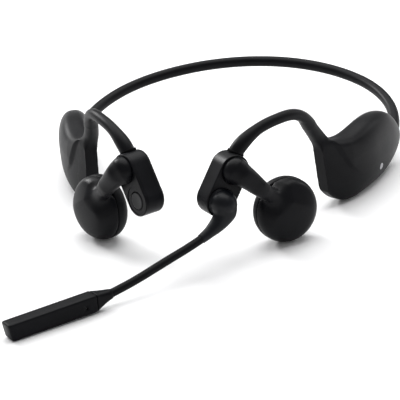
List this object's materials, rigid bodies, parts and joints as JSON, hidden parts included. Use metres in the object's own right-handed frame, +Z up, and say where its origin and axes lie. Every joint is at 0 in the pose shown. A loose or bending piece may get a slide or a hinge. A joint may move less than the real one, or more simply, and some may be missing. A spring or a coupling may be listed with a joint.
{
  "type": "open-ear headset",
  "caption": "Bone conduction headset with a neckband, ear hooks, swivelling cheek pads, behind-ear housings and a swivelling boom microphone.",
  "frame": {"origin": "centre of the footprint, on the surface that the housings rest on", "axes": "+X to the wearer's left, +Y to the wearer's back, +Z up"},
  "size_m": [0.128, 0.2194, 0.0452],
  "materials": {
    "soft_skin": "satin soft-touch silicone skin",
    "shell_plastic": "fine matte texture",
    "ear_pad_rubber": "satin",
    "button_plastic": "satin",
    "light_lens": "milky",
    "spring_steel": "satin",
    "pin_steel": "satin",
    "magnet": "plated",
    "copper": "enamelled",
    "cable_jacket": "matte",
    "circuit_board": "solder mask",
    "battery_wrap": "film",
    "switch_body": "moulded",
    "washer_rubber": "matte"
  },
  "bodies": {
    "headset": {"battery_board": "circuit_board", "battery_cell": "battery_wrap", "boom_washer": "washer_rubber", "button_board": "circuit_board", "charging_contacts": "copper", "left_earpiece_washer": "washer_rubber", "left_hook_cable": "cable_jacket", "left_hook_core_wire": "spring_steel", "left_hook_sleeve": "soft_skin", "left_housing_inner": "soft_skin", "left_housing_outer": "soft_skin", "left_pod_case": "shell_plastic", "left_pod_cover": "shell_plastic", "main_board": "circuit_board", "multifunction_switch": "switch_body", "neckband_cable": "cable_jacket", "neckband_core_wire": "spring_steel", "neckband_sleeve": "soft_skin", "right_earpiece_washer": "washer_rubber", "right_hook_cable": "cable_jacket", "right_hook_core_wire": "spring_steel", "right_hook_sleeve": "soft_skin", "right_housing_inner": "soft_skin", "right_housing_outer": "soft_skin", "right_pod_case": "shell_plastic", "right_pod_cover": "shell_plastic", "status_light": "light_lens", "volume_switches": "switch_body"},
    "left_earpiece": {"left_earpiece_shell": "shell_plastic", "left_earpiece_swivel_pin": "pin_steel", "left_earpiece_clip": "spring_steel", "left_ear_pad": "ear_pad_rubber", "left_driver_spring_plate": "spring_steel", "left_driver_coil": "copper", "left_driver_yoke": "pin_steel", "left_driver_magnet": "magnet"},
    "right_earpiece": {"right_earpiece_shell": "shell_plastic", "right_earpiece_swivel_pin": "pin_steel", "right_earpiece_clip": "spring_steel", "right_ear_pad": "ear_pad_rubber", "right_driver_spring_plate": "spring_steel", "right_driver_coil": "copper", "right_driver_yoke": "pin_steel", "right_driver_magnet": "magnet"},
    "boom": {"boom_pivot": "shell_plastic", "boom_swivel_pin": "pin_steel", "boom_clip": "spring_steel", "boom_stem": "soft_skin", "boom_core_wire": "copper", "mic_collar": "shell_plastic", "mic_housing": "shell_plastic", "mic_board": "circuit_board", "mic_capsule": "switch_body"},
    "multifunction_button": {"multifunction_button": "button_plastic"},
    "volume_up_button": {"volume_up_button": "button_plastic"},
    "volume_down_button": {"volume_down_button": "button_plastic"}
  },
  "joints": [
    {"name": "left_earpiece_swivel", "type": "hinge", "parent": "headset", "child": "left_earpiece", "pos_m": [0.01958, -0.04031, 0.03193], "axis": [0.6419, -0.765, 0.0523], "range_deg": [-18, 22]},
    {"name": "right_earpiece_swivel", "type": "hinge", "parent": "headset", "child": "right_earpiece", "pos_m": [-0.01958, -0.04031, 0.03193], "axis": [0.6419, 0.765, -0.0523], "range_deg": [-18, 22]},
    {"name": "boom_swivel", "type": "hinge", "parent": "headset", "child": "boom", "pos_m": [0.01494, -0.04487, 0.02232], "axis": [0.6419, -0.765, 0.0523], "range_deg": [-75, 65]},
    {"name": "multifunction_button_press", "type": "slide", "parent": "headset", "child": "multifunction_button", "axis": [0.6419, 0.765, -0.0523], "range_m": [0, 0.0005], "stiffness_N_per_m": 1500},
    {"name": "volume_up_press", "type": "slide", "parent": "headset", "child": "volume_up_button", "axis": [0, 0, 1], "range_m": [0, 0.0004], "stiffness_N_per_m": 1500},
    {"name": "volume_down_press", "type": "slide", "parent": "headset", "child": "volume_down_button", "axis": [0, 0, 1], "range_m": [0, 0.0004], "stiffness_N_per_m": 1500}
  ]
}
